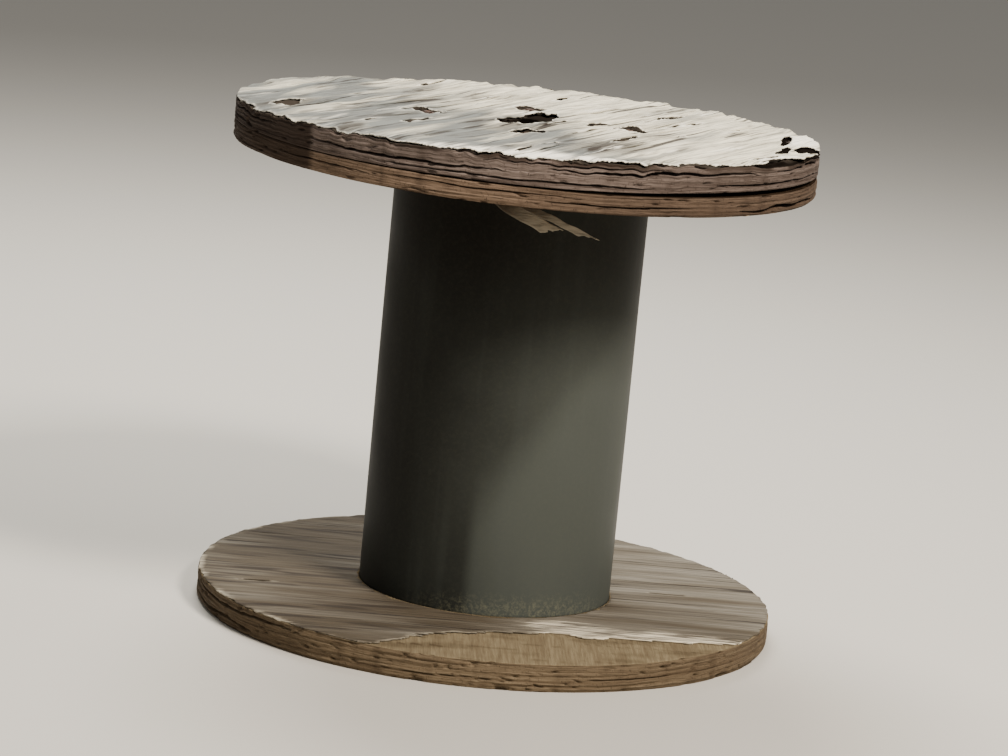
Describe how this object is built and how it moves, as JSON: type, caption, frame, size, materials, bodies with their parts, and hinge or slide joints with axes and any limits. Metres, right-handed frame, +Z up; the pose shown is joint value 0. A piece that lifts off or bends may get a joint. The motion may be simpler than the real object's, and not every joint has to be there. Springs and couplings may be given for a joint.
{
  "type": "wooden cable drum",
  "caption": "Weathered plywood cable drum with a dark fibre barrel, standing on one end; it carries wound cable or wire and spins on a bar through its arbor hole.",
  "frame": {"origin": "middle of the drum's foot, on the floor", "axes": "+Z up along the drum's axis; the torn front of the top flange faces -Y; the drooping side of the top flange faces +X"},
  "size_m": [1.016, 1.016, 0.889],
  "materials": {
    "weathered_plywood": "dry, grey-brown, split and rough",
    "silvered_plywood": "sun-bleached grey veneer, buckled and torn, over brown split plies",
    "fibre_tube": "dark grey sealed paperboard, matte to satin, dusty at the foot",
    "rusted_steel": "rusted plain steel"
  },
  "bodies": {
    "root": {"bottom_flange": "weathered_plywood", "barrel_tube": "fibre_tube", "top_flange_inner_disc": "weathered_plywood", "top_flange_outer_disc": "silvered_plywood", "tie_bolt_1": "rusted_steel", "tie_bolt_2": "rusted_steel", "tie_bolt_3": "rusted_steel", "tie_bolt_4": "rusted_steel", "top_washer_1": "rusted_steel", "top_washer_2": "rusted_steel", "top_washer_3": "rusted_steel", "top_washer_4": "rusted_steel", "top_nut_1": "rusted_steel", "top_nut_2": "rusted_steel", "top_nut_3": "rusted_steel", "top_nut_4": "rusted_steel", "torn_veneer_sliver_1": "weathered_plywood", "torn_veneer_sliver_2": "weathered_plywood"}
  },
  "joints": []
}
